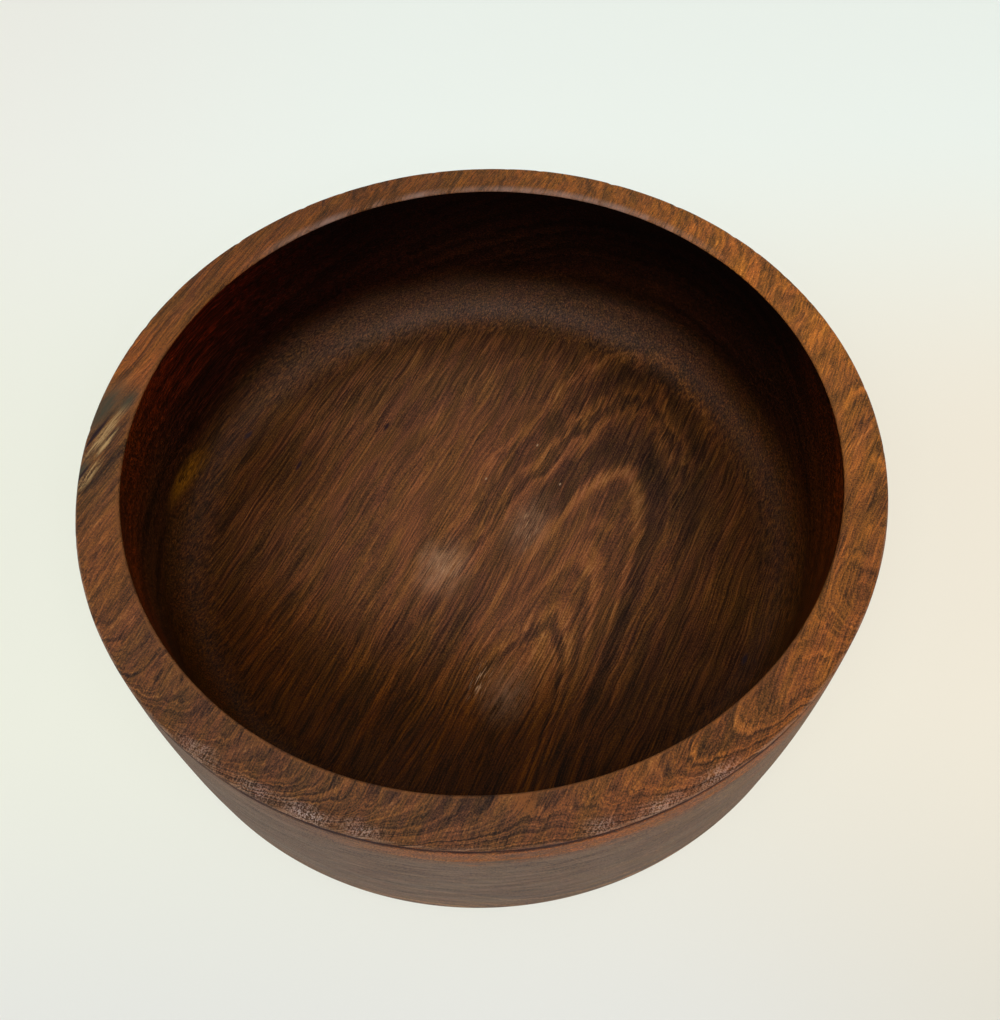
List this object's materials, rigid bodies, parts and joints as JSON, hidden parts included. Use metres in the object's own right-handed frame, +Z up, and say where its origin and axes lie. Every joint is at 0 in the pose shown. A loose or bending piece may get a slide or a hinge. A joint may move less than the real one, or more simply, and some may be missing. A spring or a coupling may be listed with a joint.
{
  "type": "serving bowl",
  "caption": "Round straight-sided serving bowl with a thick, gently sloping rim and a coved hollow, turned from one block of dark hardwood.",
  "frame": {"origin": "centre of the foot ring's flat face, on the surface that the bowl stands on", "axes": "+Z up along the axis that the bowl was turned on; -Y towards the front; +X to the right seen from the front"},
  "size_m": [0.253, 0.256, 0.0745],
  "materials": {
    "oiled_hardwood": "dark red-brown hardwood with strong figure, satin oil finish, worn dry and scuffed on the rim and the outside"
  },
  "bodies": {
    "root": {"bowl": "oiled_hardwood"}
  },
  "joints": []
}
